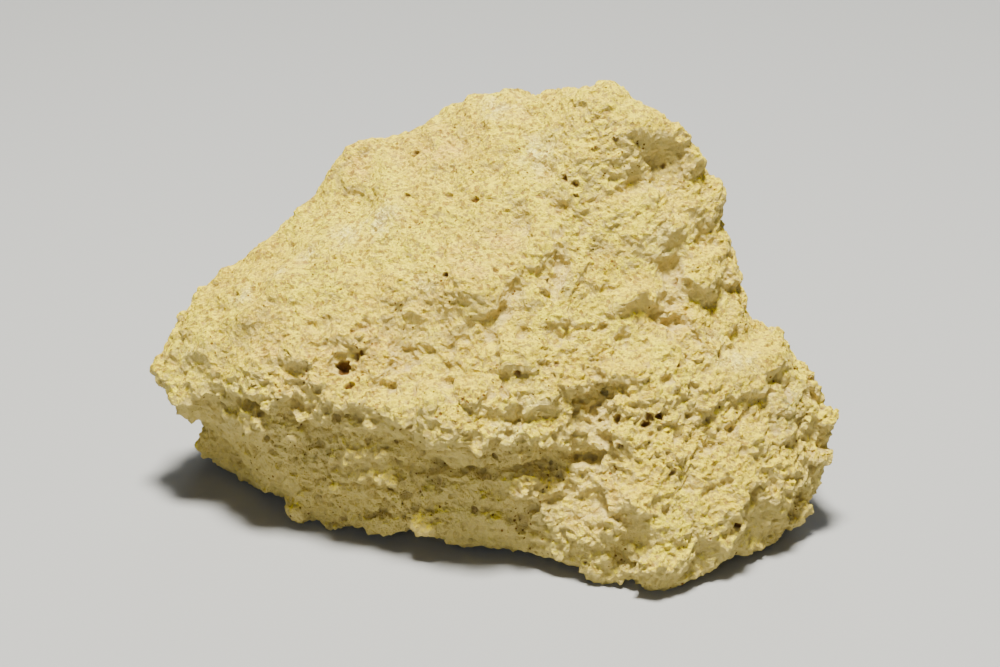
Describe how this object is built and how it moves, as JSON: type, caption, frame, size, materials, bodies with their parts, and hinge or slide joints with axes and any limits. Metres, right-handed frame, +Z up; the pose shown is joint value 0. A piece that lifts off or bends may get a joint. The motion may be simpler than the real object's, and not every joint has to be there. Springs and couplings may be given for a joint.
{
  "type": "native sulfur specimen",
  "caption": "Massive native sulfur specimen: an irregular, rough lump of porous, granular, pale yellow sulfur that rests on its flattened underside.",
  "frame": {"origin": "a point on the flat patches of the underside that the lump rests on", "axes": "+Z up, +X along the lump's length towards its broad lobe, -Y out of its front face"},
  "size_m": [0.0925, 0.0548, 0.0585],
  "materials": {
    "massive_sulfur": "rough, dull, porous and granular"
  },
  "bodies": {
    "root": {"sulfur_lump": "massive_sulfur"}
  },
  "joints": []
}
